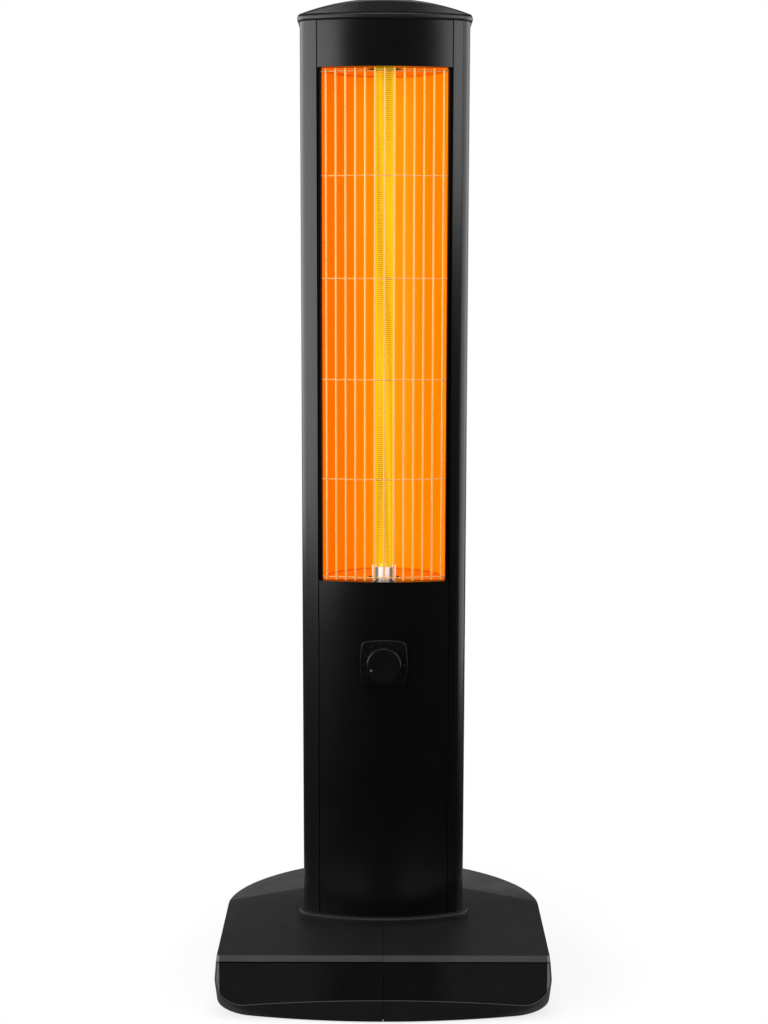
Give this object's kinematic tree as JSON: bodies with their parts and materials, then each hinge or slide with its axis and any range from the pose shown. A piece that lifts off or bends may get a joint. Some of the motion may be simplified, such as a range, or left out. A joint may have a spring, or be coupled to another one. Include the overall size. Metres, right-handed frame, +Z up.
{
  "type": "infrared tower heater",
  "caption": "Free-standing tower infrared heater: quartz tube before a reflector behind a wire guard, rotary control, split base with tip-over switch.",
  "frame": {"origin": "on the floor under the middle of the base", "axes": "+Z up along the tower, -Y towards the heater's front, +X to the right seen from the front"},
  "size_m": [0.34, 0.28, 0.999],
  "materials": {
    "black_plastic": "fine moulded grain",
    "satin_profile": "satin black powder coat",
    "panel_paint": "semi-matt black paint",
    "gloss_plastic": "polished",
    "bright_steel": "bright drawn wire",
    "reflector_metal": "bright rolled sheet",
    "quartz": "clear tube",
    "glowing_coil": "glowing wire",
    "sleeve_metal": "bright turned",
    "ceramic": "unglazed",
    "plated_steel": "zinc plated",
    "brass_pin": "turned",
    "control_plastic": "fine grain",
    "pointer_white": "printed dot",
    "switch_plastic": "moulded",
    "lead_cover": "silicone covered wire",
    "rubber": "soft"
  },
  "bodies": {
    "heater": {"left_side_profile": "satin_profile", "right_side_profile": "satin_profile", "upper_front_panel": "panel_paint", "lower_front_panel": "panel_paint", "back_panel": "panel_paint", "back_panel_screws": "plated_steel", "top_cap": "black_plastic", "tower_bottom_plate": "plated_steel", "tower_screws": "plated_steel", "reflector": "reflector_metal", "reflector_bottom_plate": "reflector_metal", "reflector_top_plate": "reflector_metal", "wire_guard": "bright_steel", "quartz_tube": "quartz", "heating_coil": "glowing_coil", "lower_tube_sleeve": "sleeve_metal", "upper_tube_sleeve": "sleeve_metal", "lower_ceramic_holder": "ceramic", "upper_ceramic_holder": "ceramic", "lower_tube_bracket": "plated_steel", "upper_tube_bracket": "plated_steel", "bracket_rivets": "plated_steel", "lower_terminal_pin": "brass_pin", "upper_terminal_pin": "brass_pin", "knob_bezel": "control_plastic", "thermostat_body": "switch_plastic", "thermostat_nut": "plated_steel", "thermal_cutout": "switch_plastic", "terminal_block": "switch_plastic", "cable_gland": "black_plastic", "lower_lead": "lead_cover", "cutout_lead": "lead_cover", "thermostat_lead": "lead_cover", "upper_lead": "lead_cover", "base_left_half": "black_plastic", "base_right_half": "black_plastic", "left_front_inlay": "gloss_plastic", "right_front_inlay": "gloss_plastic", "tower_collar": "black_plastic", "base_joining_screws": "plated_steel", "rubber_feet": "rubber", "tip_switch_housing": "switch_plastic", "tip_switch_spring": "plated_steel"},
    "knob": {"control_knob": "control_plastic", "knob_pointer": "pointer_white", "thermostat_shaft": "brass_pin"},
    "plunger": {"tip_switch_plunger": "switch_plastic"}
  },
  "joints": [
    {"name": "knob_turn", "type": "hinge", "parent": "heater", "child": "knob", "pos_m": [0, -0.064, 0.345], "axis": [0, 1, 0], "range_deg": [0, 270]},
    {"name": "tip_plunger_slide", "type": "slide", "parent": "heater", "child": "plunger", "axis": [0, 0, -1], "range_m": [0, 0.004], "stiffness_N_per_m": 120, "springref_m": 0.008, "deforming": ["tip_switch_spring"]}
  ]
}
